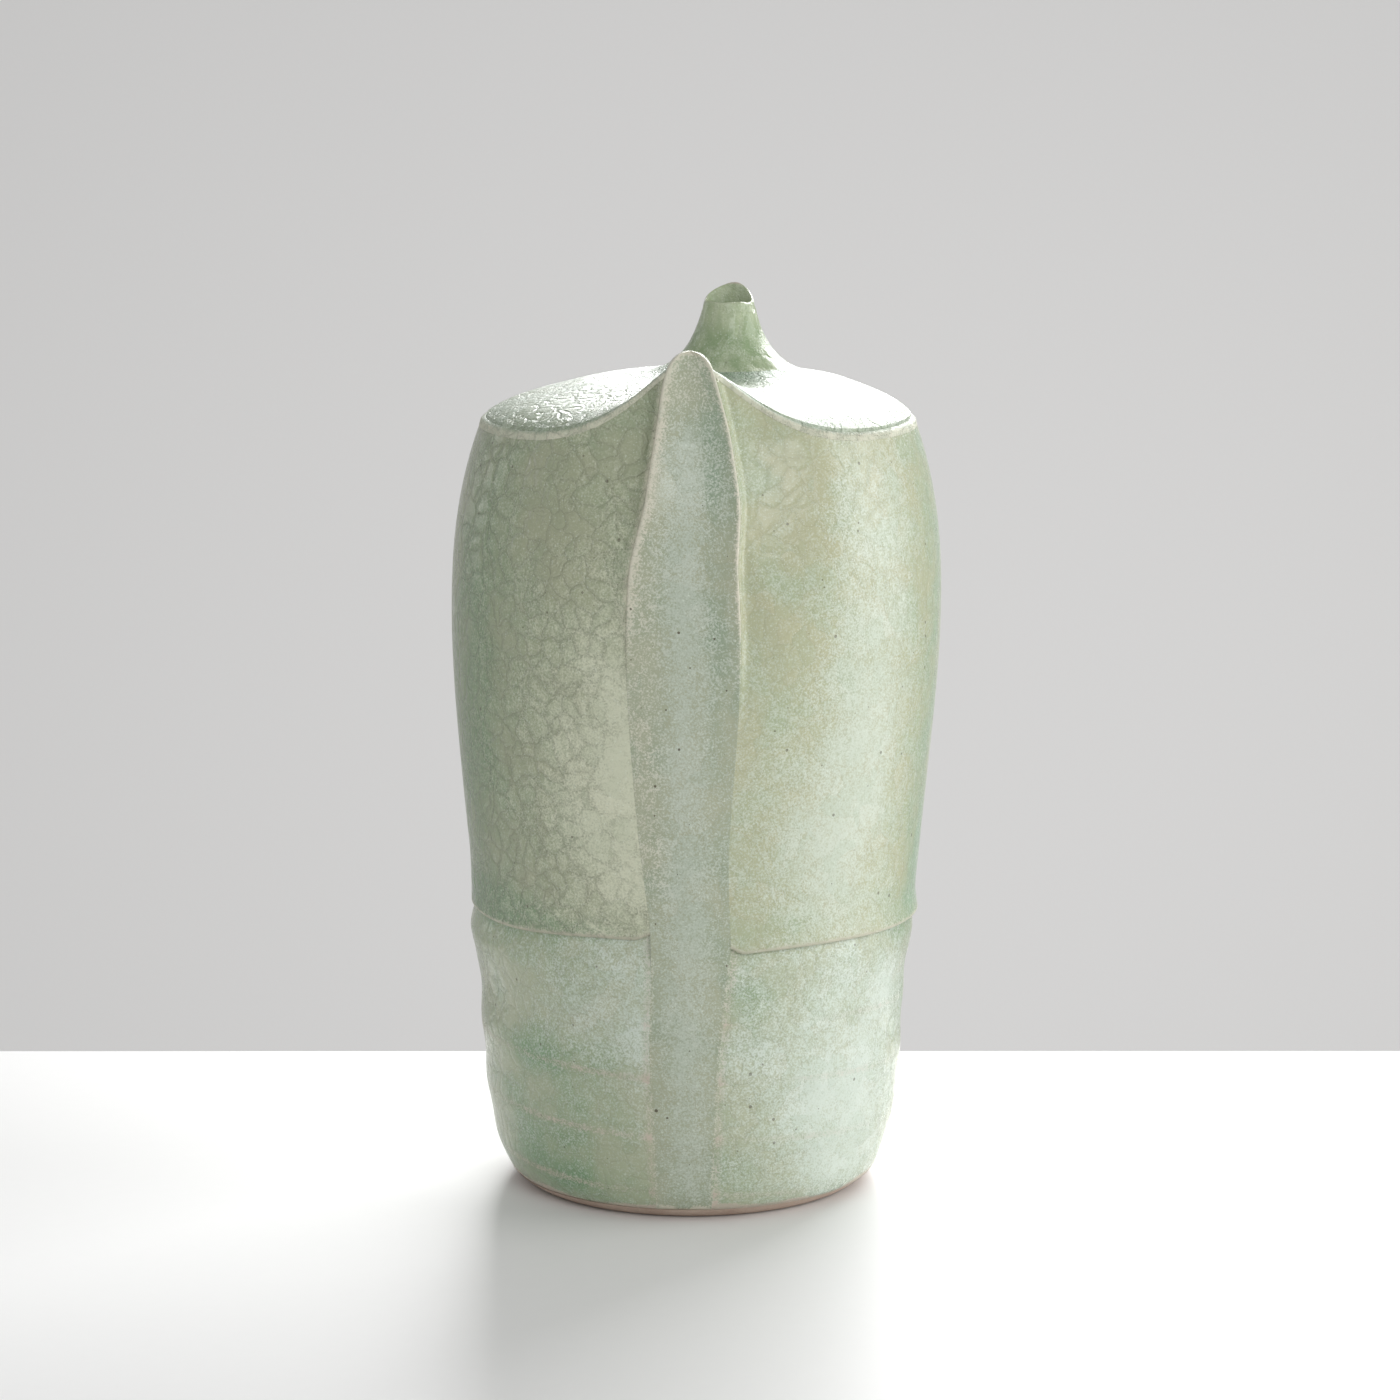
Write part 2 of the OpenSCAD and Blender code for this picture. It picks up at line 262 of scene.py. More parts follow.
bare_clay = bare_clay_material()
disc = [(0.0, 0.35), (8.0, 0.3), (20.0, 0.2), (27.0, 0.05), (29.5, 0.0)]
disc += [(float(lower_r(z)), float(z)) for z in np.linspace(0, wall_foot_z, 12)]
step_r = float(lower_r(wall_foot_z)) - 3
disc += [(step_r, wall_foot_z), (step_r, floor_top), (step_r * 0.5, floor_top), (0.0, floor_top)]
floor_mesh = turned("thrown_floor", disc, bare_clay, marks=(0.06, 3.1, 2))
clay_piece("thrown_floor", "base_slab", floor_mesh)

# ---- Lower wall ----
# The lower wall is thrown as a ring, so soft spiral ridges run round it, and the potter's fingers leave
# shallow dents under the ledge. It is slit at the front for the strip, then glazed with crackled celadon.

strip_foot_w = 5.2
strip_ledge_w = 7.4
mark_depth = 0.16
mark_pitch = 11.5
mark_top_z = 52
lap_inner_r = waist_r - 5.2


def mix(a, b, t):
    return a + (b - a) * t


def smooth(v):
    t = np.clip(v, 0, 1)
    return t * t * (3 - 2 * t)


def patch(angle, z, at, spread):
    """1 at the patch's middle, (degrees from the front, height), falling off over its spread."""
    turn = np.mod(np.degrees(angle) - at[0] + 180, 360) - 180
    return np.exp(-np.square(turn / spread[0]) - np.square((z - at[1]) / spread[1]))


def strip_middle(z):
    """Sideways place of the strip's middle line, which wanders a little."""
    return (-1.5 + 1.3 * np.exp(-np.square((z - 54) / 14)) + 1.7 * smooth((z - 124) / 16)
            - 0.5 * smooth((z - 149) / 12))


def patches(angle, z, *places):
    """A sum of soft patches, each with its strength, its place and its spread."""
    return sum(strength * patch(angle, z, at, spread) for strength, at, spread in places)


def mark_wave(angle, z):
    """The spiral ridges' rise and fall from -1 to 1, with the angle counted from the front."""
    return np.sin(2 * pi * z / mark_pitch + angle - pi / 2)


def throwing_marks(angle, z):
    """How far the spiral ridges stand out, as on the wheel."""
    fade = 1 - np.clip((z / mark_top_z - 0.8) / 0.2, 0, 1)
    return mark_depth * mark_wave(angle, z) * fade


def pressed(angle, z):
    """How far the lower wall is pushed in by the potter's fingers."""
    return patches(
        angle, z, (0.9, (-66, 41), (26, 4.5)), (0.6, (74, 40), (22, 6)), (0.35, (-35, 28), (30, 3)),
        (-0.3, (-70, 49), (30, 3)), (0.35, (150, 38), (30, 6)), (0.3, (-140, 24), (30, 5)))


def milk_and_painted_light(angle, z):
    """Where the glaze clouds over, milky with trapped bubbles; some patches are painted light."""
    return patches(
        # Painted light: the patch at (-13, 86) stands for light caught in the hollow beside the tongue, and
        # those at (66, 42) and (48, 14) for the sheen of the light from the right.
        angle, z, (1.0, (-13, 86), (17, 38)), (0.25, (-34, 88), (18, 34)), (0.35, (-26, 40), (20, 7)),
        (0.8, (46, 95), (17, 40)), (0.6, (30, 72), (16, 18)), (0.6, (34, 34), (34, 16)),
        (0.6, (66, 42), (16, 7)), (1.0, (48, 14), (26, 16)), (0.35, (52, 140), (14, 14)),
        (0.35, (-12, 30), (6, 12)), (0.5, (160, 60), (30, 50)), (0.25, (-120, 110), (24, 30)))


def wet_pool(angle, z):
    """Where the glaze runs together and fires deep green."""
    return patches(
        angle, z, (1.1, (-68, 58.5), (24, 3.5)), (0.4, (-30, 57), (14, 2)), (0.45, (-50, 31), (22, 4)),
        (0.5, (-72, 85), (22, 30)), (0.3, (-48, 16), (30, 12)), (0.5, (-45, 7), (30, 5)),
        (0.5, (78, 100), (12, 60)), (0.6, (82, 64), (14, 10)), (0.35, (20, 58), (16, 3)),
        (0.4, (-62, 120), (16, 30)), (0.35, (15, 43), (12, 4)), (0.4, (150, 58), (60, 4)),
        (0.4, (-150, 58), (50, 5)))


def coat(mesh, thin, pool_and_shade, bloom):
    """Records on each vertex how the glaze lies: thin over edges, pooled, or milky. On some pieces these
    values also paint shade and light.
    """
    for label, values in (("thin", thin), ("pool_and_shade", pool_and_shade), ("bloom", bloom)):
        layer = mesh.attributes.new(label, "FLOAT", "POINT")
        layer.data.foreach_set("value", np.clip(values, 0, 1).astype(np.float32).ravel())


# Crackle: the hairline net that opens as the glaze cools and shrinks more than the clay
crackle, given, out = shader_group(
    "glaze_crackle", [("Place", "Vector", None), ("Cell", "Float", 4.5), ("Hairline", "Float", 0.035)],
    [("Lines", "Float"), ("Scales", "Float"), ("Furrows", "Float")])
bend = add_node(crackle, "ShaderNodeTexNoise", {"Vector": given["Place"], "Scale": 160, "Detail": 2})
centred = add_node(
    crackle, "ShaderNodeVectorMath", {0: bend.outputs["Color"], 1: (0.5, 0.5, 0.5)}, operation="SUBTRACT")
swerve = add_node(crackle, "ShaderNodeVectorMath", {0: centred.outputs[0], "Scale": 0.006}, operation="SCALE")
bent = add_node(crackle, "ShaderNodeVectorMath", {0: given["Place"], 1: swerve.outputs[0]}, operation="ADD")
per_metre = sums(crackle, "DIVIDE", 1000, given["Cell"])
here = ramped(crackle, noise(crackle, given["Place"], 70, 1), 0.42, 0.64)


def crack_net(scale):
    """Distance to the nearest crack of a net of cells."""
    net = add_node(crackle, "ShaderNodeTexVoronoi", {
        "Vector": bent.outputs[0], "Scale": scale}, feature="DISTANCE_TO_EDGE")
    return net.outputs["Distance"]


def near_crack(distance, width, strength):
    """The strength on a crack, falling to 0 at that width from it."""
    return add_node(crackle, "ShaderNodeMapRange", {
        0: distance, 1: 0.0, 2: width, 3: strength, 4: 0.0}).outputs[0]


coarse_net = crack_net(per_metre)
fine_net = crack_net(sums(crackle, "MULTIPLY", per_metre, 2.1))


def both_nets(width, fine_strength):
    """The coarse net's cracks everywhere, and the fine net's only in some places."""
    fine = sums(crackle, "MULTIPLY", near_crack(fine_net, width, fine_strength), here)
    return sums(crackle, "MAXIMUM", near_crack(coarse_net, width, 1.0), fine)


valley_width = 0.18
crackle.links.new(both_nets(given["Hairline"], 0.7), out["Lines"])
crackle.links.new(both_nets(valley_width, 0.6), out["Furrows"])
tiles = add_node(crackle, "ShaderNodeTexVoronoi", {"Vector": bent.outputs[0], "Scale": per_metre})
tone = add_node(crackle, "ShaderNodeSeparateColor", {0: tiles.outputs["Color"]})
crackle.links.new(tone.outputs[0], out["Scales"])

# Glaze over clay: the body colour deepens in pools, clouds over in blooms, and breaks to clay on edges
depth, given, out = shader_group(
    "glaze_depth",
    [("Body", "Color", None), ("Pooled", "Color", None), ("Milky", "Color", None), ("Edge", "Color", None),
     ("Thin", "Float", 0), ("Pool", "Float", 0), ("Bloom", "Float", 0),
     ("Grain", "Float", 0), ("Clouds", "Float", 0), ("Graininess", "Float", 0.5)],
    [("Color", "Color"), ("Milkiness", "Float"), ("Bareness", "Float")])


def swing(tree, value, weight):
    """A push up or down, from a value that lies about a half."""
    return sums(tree, "MULTIPLY", sums(tree, "SUBTRACT", value, 0.5), weight)


pool_share = sums(depth, "ADD", given["Pool"], swing(depth, given["Clouds"], 0.5))
shallow = mixed(depth, ramped(depth, pool_share, -0.15, 0.85), given["Body"], given["Pooled"])
grain_push = swing(depth, given["Grain"], given["Graininess"])
cloud_push = swing(depth, given["Clouds"], 0.4)
bloom_share = sums(depth, "ADD", given["Bloom"], sums(depth, "ADD", grain_push, cloud_push))
milkiness = ramped(depth, bloom_share, -0.15, 1.15)
clouded = mixed(depth, milkiness, shallow, given["Milky"])
thinness = sums(depth, "ADD", given["Thin"], sums(depth, "MULTIPLY", grain_push, 0.4))
bareness = ramped(depth, thinness, 0.15, 0.9)
depth.links.new(mixed(depth, bareness, clouded, given["Edge"]), out["Color"])
depth.links.new(milkiness, out["Milkiness"])
depth.links.new(bareness, out["Bareness"])


pale_speck_and_glint = (0.82, 0.90, 0.80)
burnt_pit = (0.10, 0.085, 0.055)
body_behind = (0.42, 0.44, 0.295)
pooled_behind = (0.25, 0.36, 0.225)
milky_behind = (0.58, 0.63, 0.52)
lines_behind = 0.4
furrow_behind = 0.35


def glaze_material(name, body, pooled, milky, edge, cell=4.5, graininess=0.5, lines=0.3, gloss=0.13,
                   streaks=0.0, pits=0.6, furrow=0.45):
    """Celadon over stoneware: crackled and glossy, deeper where it pools and paler where it is thin."""
    material, tree, surface = clean_material(name)
    place = tree.nodes.new("ShaderNodeTexCoord").outputs["Object"]
    fired = add_node(tree, "ShaderNodeGroup", node_tree=grit)
    cracked = add_node(tree, "ShaderNodeGroup", node_tree=crackle)
    cracked.inputs["Cell"].default_value = cell
    for group in (fired, cracked):
        tree.links.new(place, group.inputs["Place"])
    masks = {label: add_node(tree, "ShaderNodeAttribute", attribute_name=label).outputs["Fac"]
             for label in ("thin", "pool_and_shade", "bloom", "behind")}

    def same_behind(value, shared):
        """A value that passes into the one that all the glazes share behind."""
        return sums(tree, "ADD", value, sums(tree, "MULTIPLY", masks["behind"], shared - value))

    stretched = add_node(tree, "ShaderNodeVectorMath", {0: place, 1: (1, 1, 0.12)}, operation="MULTIPLY")
    run_push = swing(tree, noise(tree, stretched.outputs[0], 420, 3), streaks)
    layered = add_node(tree, "ShaderNodeGroup", node_tree=depth)
    for label, value in (("Thin", masks["thin"]), ("Pool", sums(tree, "SUBTRACT", masks["pool_and_shade"], run_push)),
                         ("Bloom", sums(tree, "ADD", masks["bloom"], run_push)),
                         ("Grain", fired.outputs["Grain"]), ("Clouds", fired.outputs["Clouds"])):
        tree.links.new(value, layered.inputs[label])
    for label, value, shared in (("Body", body, body_behind), ("Pooled", pooled, pooled_behind),
                                 ("Milky", milky, milky_behind), ("Edge", edge, edge)):
        tree.links.new(mixed(tree, masks["behind"], value, shared), layered.inputs[label])
    layered.inputs["Graininess"].default_value = graininess
    clear = sums(tree, "SUBTRACT", 1, layered.outputs["Milkiness"])

    cell_tone = sums(tree, "MULTIPLY", cracked.outputs["Scales"], 0.16)
    scaled = mixed(tree, cell_tone, layered.outputs["Color"], pooled)
    # Pale specks: bubbles in the glaze, with painted glints of light among them.
    speck_weight = sums(tree, "MULTIPLY", fired.outputs["Pale Specks And Glints"], 0.26)
    speckled = mixed(tree, speck_weight, scaled, pale_speck_and_glint)
    clear_lines = sums(tree, "MULTIPLY", cracked.outputs["Lines"], clear)
    line_weight = sums(tree, "MULTIPLY", clear_lines, same_behind(lines, lines_behind))
    netted = mixed(tree, line_weight, speckled, tuple(c * 0.62 for c in body))
    pitted = mixed(tree, sums(tree, "MULTIPLY", fired.outputs["Pinholes"], pits), netted, burnt_pit)

    clear_furrows = sums(tree, "MULTIPLY", cracked.outputs["Furrows"], clear)
    sunk = sums(tree, "ADD", clear_furrows, fired.outputs["Pinholes"])
    relief = sums(tree, "SUBTRACT", sums(tree, "MULTIPLY", fired.outputs["Grain"], 0.12), sunk)
    waves = add_node(tree, "ShaderNodeBump", {
        "Height": noise(tree, place, 230, 2), "Strength": 0.5, "Distance": 0.25 * MM})
    bump = add_node(tree, "ShaderNodeBump", {
        "Height": relief, "Strength": same_behind(furrow, furrow_behind), "Distance": 0.3 * MM,
        "Normal": waves.outputs[0]})
    dulled = sums(tree, "ADD", sums(tree, "MULTIPLY", layered.outputs["Milkiness"], 0.14),
                  sums(tree, "MULTIPLY", layered.outputs["Bareness"], 0.35))
    glass = add_node(tree, "ShaderNodeBsdfPrincipled", {
        "Base Color": pitted, "Roughness": sums(tree, "ADD", gloss, dulled), "Normal": bump.outputs[0]})
    tree.links.new(glass.outputs[0], surface)
    return material


clay_edge = (0.60, 0.52, 0.44)
thin_edge = (0.55, 0.53, 0.42)
celadon = glaze_material(
    "lower_wall_celadon", (0.46, 0.49, 0.345), (0.20, 0.335, 0.185), (0.66, 0.73, 0.65), clay_edge, cell=4,
    graininess=0.95, lines=0.35, furrow=0.35)

lap_z = ledge_z + 3.5
wall = [(float(lower_r(z)), float(z)) for z in np.linspace(wall_foot_z, lap_z, 90)]
for t in np.linspace(0, 1, 30):
    wall.append((float(mix(lap_inner_r, step_r, t)), float(mix(lap_z, floor_top, t))))
wall.append((step_r, wall_foot_z))
lower_mesh = turned(
    "thrown_lower_wall", wall, celadon, stations=300, half_slot=radians(10),
    marks=(mark_depth, mark_pitch, mark_top_z))


def place_of(mesh):
    """Vertices in millimetres, with each one's distance from the axis and its angle from the front."""
    spots = np.zeros(len(mesh.vertices) * 3)
    mesh.vertices.foreach_get("co", spots)
    spots = spots.reshape(-1, 3) / MM
    return spots, np.hypot(spots[:, 0], spots[:, 1]), np.arctan2(spots[:, 0], -spots[:, 1])


def lower_strip_w(z):
    return mix(strip_foot_w, strip_ledge_w, np.clip((z - wall_foot_z) / (ledge_z - wall_foot_z), 0, 1))


spots, reach, angle = place_of(lower_mesh)
height = spots[:, 2]
side = np.sign(angle)
slit_edge = radians(10.6)
share = np.clip((np.abs(angle) - slit_edge) / (pi - slit_edge), 0, 1)
beside = np.arcsin(np.clip((lower_strip_w(height) + side * strip_middle(height)) / reach, -1, 1))
angle = side * mix(beside, pi, share)
reach = reach - pressed(angle, height) * smooth(share / 0.06)
spots[:, 0], spots[:, 1] = reach * np.sin(angle), -reach * np.cos(angle)
lower_mesh.vertices.foreach_set("co", (spots * MM).ravel())
edge_wave = 0.5 * np.sin(5 * angle + 1) + 0.35 * np.sin(13 * angle)
thin = 1 - smooth((height - wall_foot_z - 0.5 - edge_wave) / 0.8)
ridge_line = np.exp(-np.square((mark_wave(angle, height) - 1) / 0.12)) * (height < 40)
ridge_strength = 0.25 + 0.2 * patch(angle, 0, (-50, 0), (40, 1)) + 0.1 * np.sin(7 * angle + height)
slit_line = 0.45 * np.exp(-np.square((share * 120 - 0.6) / 0.9))
thin = thin + ridge_line * ridge_strength + slit_line
coat(lower_mesh, thin, wet_pool(angle, height), milk_and_painted_light(angle, height))
clay_piece("thrown_lower_wall", "lower_wall", lower_mesh)

# ---- Left and right panels ----
# The upper wall is two pressed panels, luted over the lower wall's rim so that their lower lip overhangs
# it. They are pushed in on both sides of the tongue and meet in a wiped seam behind.

belly_z = 112.0
slab_t = 3.0
rim_z = (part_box("top_slab")[0] / MM).z + slab_t
tip_z = (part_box("front_strip")[1] / MM).z
wall_t = 4.0
girth_r = 46
belly_r = 46.85
rim_r = 41.0
lip_r = 42.9
slab_edge = 1.6
tongue_w = 4.8
tongue_angle = np.arcsin(tongue_w / rim_r)


def swept_edge(angle):
    """Height of the top's edge, which sweeps up to the tongue."""
    return rim_z + 16.6 * np.exp(-np.power(np.abs(np.degrees(angle)) / 18.6, 1.5))


def middle(z):
    """Sideways place of the leaning upper wall's axis."""
    return 0.3 * smooth((z - 55) / 12) + 0.0095 * np.clip(z - ledge_z, 0, 200)


def upper_r(z):
    """Outer radius of the upper wall."""
    down = np.clip((belly_z - z) / (belly_z - 57), 0, 1)
    up = np.clip((np.minimum(z, rim_z) - belly_z) / (rim_z - belly_z), 0, 1)
    foot = 0.25 * np.clip((58 - z) / 4, 0, 1)
    return (belly_r - (belly_r - lip_r) * (0.6 * smooth(down) + 0.4 * down * down)
            - (belly_r - rim_r) * np.power(up, 2.4) + foot)


def hollow(angle, z):
    """How far a panel is pushed in beside the tongue, with a soft crease where the push ends."""
    turn = np.abs(np.degrees(angle))
    broad = 2.6 * smooth((z - 100) / 48) * np.exp(-np.square((turn - 15) / 13))
    crease_at = mix(23, 11, smooth((z - 98) / 44))
    ramp = np.clip((crease_at - turn) / 9, 0, 1.2)
    push = 1.5 * smooth((z - 96) / 24)
    return broad + push * np.sqrt(ramp * ramp + 0.002) - push * 0.045


def upper_wall_r(angle, z):
    dented = 0.3 * patch(angle, z, (-70, 64), (20, 6)) + 0.25 * patch(angle, z, (110, 90), (25, 20))
    return upper_r(z) - hollow(angle, z) - dented


def half_width(z):
    """Half of the strip's width: it widens to the belly, narrows again and ends in a round tip."""
    low = lower_strip_w(z)
    high = mix(strip_ledge_w, 10.5, smooth((z - ledge_z) / (belly_z - ledge_z)))
    top = 10.5 - 6.1 * np.power(np.clip((z - belly_z) / 50, 0, 1.1), 1.9)
    tip = np.sqrt(1 - np.power(np.clip((z - 157) / (tip_z + 0.03 - 157), 0, 0.999), 4.6))
    return np.where(z < ledge_z, low, np.where(z < belly_z, high, top)) * tip


def edge_r(z):
    """Radius of a panel's edge, which rises out of the hollow towards the strip."""
    turn = np.arcsin(half_width(z) / upper_r(z))
    return upper_wall_r(turn, z) + 0.72 * hollow(turn, z)


def panel_points(side, share, z, depth_in):
    """Points of a panel: share runs from 0 at the strip to 1 at the seam behind."""
    beside = np.arcsin((half_width(z) + side * (strip_middle(z) - middle(z))) / (edge_r(z) - depth_in))
    angle = mix(beside, pi, share)
    from_strip = (angle - beside) * girth_r
    fillet = 0.72 * hollow(side * angle, z) * np.exp(-np.square(from_strip / (1.7 if side < 0 else 0.9)))
    near = mix(edge_r(z), upper_wall_r(side * angle, z) + fillet, smooth(share / 0.004))
    flare = 0.55 * side * np.sin(angle) * np.exp(-np.clip(z - ledge_z, 0, 99) / 4) * smooth(share / 0.05)
    reach = near - depth_in + np.where(depth_in < 2.5, flare, 0)
    return np.stack([middle(z) + side * reach * np.sin(angle), -reach * np.cos(angle), z], -1), side * angle


def lip_height(side, share):
    """Height of the panels' lower lip, which rises a little beside the strip on the left."""
    wander = (0.25 * np.sin(7 * share + side) + 0.15 * np.sin(19 * share)) * smooth(share / 0.05)
    if side < 0:
        rise = 0.6 + 1.9 * np.exp(-np.square(share / 0.22)) + 0.9 * np.exp(-np.square(share / 0.014))
    else:
        rise = 0.7 * np.exp(-np.square((share - 0.22) / 0.16)) + 1.3 * np.exp(-np.square(share / 0.012)) - 0.5
    return ledge_z + mix(rise + wander, 0.1, smooth((share - 0.6) / 0.4))


def lofted(name, rows, whole_ring=False):
    """A closed mesh through rows that each run along an outer face and back along the inner one."""
    count = rows.shape[1]
    points = (rows.reshape(-1, 3) * MM).tolist()
    last = rows.shape[0] if whole_ring else rows.shape[0] - 1
    faces = []
    for i in range(last):
        a, b = i * count, (i + 1) % rows.shape[0] * count
        faces += [(a + j, b + j, b + (j + 1) % count, a + (j + 1) % count) for j in range(count)]
    if not whole_ring:
        for start in (0, (rows.shape[0] - 1) * count):
            end = start + count - 1
            faces += [(start + j, start + j + 1, end - 1 - j, end - j) for j in range(count // 2 - 1)]
    mesh = bpy.data.meshes.new(name)
    mesh.from_pydata(points, [], faces)
    return mesh


def pressed_panel(name, node, side, material):
    shares = np.power(np.linspace(0, 1, 130), 1.35)[:, None]
    lip_z = lip_height(side, shares)
    top_z = swept_edge(mix(tongue_angle, pi, shares)) - slab_edge
    lip_turns = np.linspace(0, pi / 2, 7)[None, :]
    rise = np.linspace(0, 1, 118)[None, :]
    rounded = 0.8
    body_z = mix(lip_z + rounded, top_z, rise[:, 1:])
    outer_z = np.concatenate([lip_z + rounded * (1 - np.cos(lip_turns)), body_z], 1)
    outer_depth = np.concatenate([rounded * (1 - np.sin(lip_turns)) + 0 * lip_z, 0 * body_z], 1)
    lap_r = 41.95
    inner_z = np.concatenate([mix(lip_z, lap_z + 0.1, np.linspace(0, 1, 6)[None, :]) + 0 * lip_z,
                              mix(lap_z + 0.1, top_z, np.linspace(0, 1, 118)[None, :])], 1)
    inner_depth = np.concatenate([np.broadcast_to(upper_r(inner_z[:, :6]) - lap_r, inner_z[:, :6].shape),
                                  np.full(inner_z[:, 6:].shape, wall_t)], 1)
    outer, outer_angle = panel_points(side, shares, outer_z, outer_depth)
    inner, inner_angle = panel_points(side, shares, inner_z, inner_depth)
    rows = np.concatenate([outer, inner[:, ::-1]], 1)
    mesh = lofted(name, rows)
    angle = np.concatenate([outer_angle, inner_angle[:, ::-1]], 1)
    z = rows[..., 2]
    turn = np.abs(np.degrees(angle))
    from_strip = (np.abs(angle) - np.abs(angle[:1])) * girth_r
    ridge_strength, ridge_width = (0.6, 1.5) if side < 0 else (0.3, 0.7)
    # The fold beside the tongue holds deeper glaze and is darkened more on the left, as painted shade on the
    # side turned from the light.
    fold_darkening = 0.2 if side < 0 else 0.05
    top = 1 - smooth((np.broadcast_to(top_z, z.shape) - z - 0.1) / 1.1)
    lip = 1 - smooth((z - lip_z - 0.35) / 0.9)
    ridge = ridge_strength * np.exp(-np.square(from_strip / ridge_width)) * smooth((z - 98) / 26)
    seam = 0.5 * np.exp(-np.square((pi - np.abs(angle)) * girth_r / 0.8))
    # Painted shade: a darker band just under the top's overhanging edge.
    painted_shade_under_top = 0.06 * np.exp(-np.square((top_z - z - 3) / 2.5))
    fold_pool_and_shade = fold_darkening * np.exp(-np.square((turn - 14) / 7)) * smooth((z - 100) / 30)
    coat(mesh, np.maximum(np.maximum(top * 0.3, lip * 0.95), np.maximum(ridge, seam)),
         wet_pool(angle, z) + painted_shade_under_top + fold_pool_and_shade, milk_and_painted_light(angle, z))
    behind = mesh.attributes.new("behind", "FLOAT", "POINT")
    behind.data.foreach_set("value", smooth((turn - 90) / 60).astype(np.float32).ravel())
    mesh.materials.append(material)
    return clay_piece(name, node, mesh)


# Painted shade: the left panel's body colour is mixed darker than the right panel's and the lower wall's, for
# the side turned from the light.
shaded_left_glaze = glaze_material(
    "left_panel_celadon_painted_shade", (0.385, 0.41, 0.28), (0.22, 0.315, 0.19), (0.68, 0.70, 0.54), thin_edge, cell=4.2,
    graininess=0.7, lines=0.45, furrow=0.8)
right_glaze = glaze_material(
    "right_panel_celadon", (0.475, 0.48, 0.315), (0.28, 0.41, 0.265), (0.62, 0.675, 0.57), thin_edge,
    cell=4.2, graininess=1.0, lines=0.25, furrow=0.25)
pressed_panel("pressed_left_panel", "left_panel", -1, shaded_left_glaze)
pressed_panel("pressed_right_panel", "right_panel", 1, right_glaze)

# ---- Front strip ----
# A strip of rolled clay closes the slit from the foot to the top and stands up as the tongue. Its groove
# holds a thick run of glaze that fires milky blue, and the glaze breaks to bare clay along its ridges.

strip_glaze = glaze_material(
    "strip_blue_run", (0.42, 0.44, 0.315), (0.25, 0.34, 0.245), (0.515, 0.57, 0.48), (0.68, 0.65, 0.535),
    cell=6, graininess=1.5, lines=0.08, streaks=0.4, pits=0.9, furrow=0.2)
sweep_z = float(swept_edge(tongue_angle))


def strip_face(u, z, w, drop):
    """A row across the strip's outer face: u runs from -1 at its left edge to 1 at its right edge."""
    x = strip_middle(z) + w * u
    upper = smooth((z - ledge_z + 6) / 12)
    turn = np.arcsin(np.clip(x / girth_r, -1, 1))
    low = lower_r(np.minimum(z, ledge_z - 3)) + throwing_marks(turn, np.minimum(z, ledge_z))
    base = mix(low, upper_r(np.maximum(z, ledge_z)), upper)
    groove_depth = 1.25 * smooth((z - 78) / 50) + 0.15
    groove = groove_depth * (1 - np.square(u)) * (1 + 0.25 * u)
    proud = 0.28 * np.clip(hollow(turn, z), 0, 9)
    rounding = np.minimum(np.where(u < 0, 1.3, 0.8), 0.8 * proud + 0.02)
    past = np.clip(np.abs(u) * w - (w - rounding), 0, rounding)
    edge = rounding - np.sqrt(np.maximum(np.square(rounding) - np.square(past), 0))
    return x, base - groove - edge - drop


columns = np.sin(np.linspace(-pi / 2, pi / 2, 41))[None, :]
body_z = np.linspace(wall_foot_z, sweep_z, 230)[:, None]
arc = np.radians(np.linspace(0, 84, 34)[1:])[:, None]
tongue_z = sweep_z + (tip_z - sweep_z) * np.sin(arc) / np.sin(radians(84))
z = np.concatenate([body_z, tongue_z])
w = half_width(z)
x, outer_r = strip_face(columns, z, w, 0.0)
y = -np.sqrt(np.square(outer_r) - np.square(x - middle(z)))
upper = smooth((z - ledge_z + 6) / 12)
tongue_share = np.clip((z - sweep_z) / (tip_z - sweep_z), 0, 1)
lower_inner = mix(step_r, lap_inner_r, np.clip((z - floor_top) / (lap_z - floor_top), 0, 1))
inner_r = mix(lower_inner, upper_r(np.maximum(z, ledge_z)) - wall_t, upper) + 1.9 * np.square(tongue_share)
inner_y = -np.sqrt(np.square(inner_r) - np.square(x - middle(z)))
rows = np.concatenate([np.stack([x, y, z + 0 * x], -1), np.stack([x, inner_y, z + 0 * x], -1)[:, ::-1]], 1)
strip_mesh = lofted("rolled_front_strip", rows)
across = np.broadcast_to(columns, x.shape)
from_edge = (1 - np.abs(across)) * w
high = smooth((z - 98) / 26)
left_ridge, right_ridge = (np.exp(-np.square(from_edge / width)) for width in (2.1, 0.8))
ridge = np.where(across < 0, 0.8 * left_ridge, 0.85 * right_ridge) * high
seam_line = 0.4 * np.exp(-np.square(from_edge / 0.5)) * (1 - smooth((z - 48) / 12))
crest = np.exp(-np.square(np.minimum(tip_z - z, from_edge) / 0.6)) * smooth((z - 152) / 6)
foot = 1 - smooth((z - wall_foot_z - 0.3 - 0.4 * np.sin(x)) / 0.8)
tongue_top = 0.3 * smooth((z - 150) / 8)
# Thinner glaze on the left half of the groove, with painted light where that half faces the light.
wiped_and_painted_light = 0.32 * smooth((-across - 0.1) / 0.6) * smooth((z - 58) / 14) * (1 - smooth((z - 118) / 30))
run = (0.9 - 0.2 * smooth((40 - z) / 30)) * np.exp(-np.square((x + 1.0) / 5.0))
bloom = run * (1 - 0.75 * smooth((z - 146) / 8)) * smooth((z - 3) / 6)
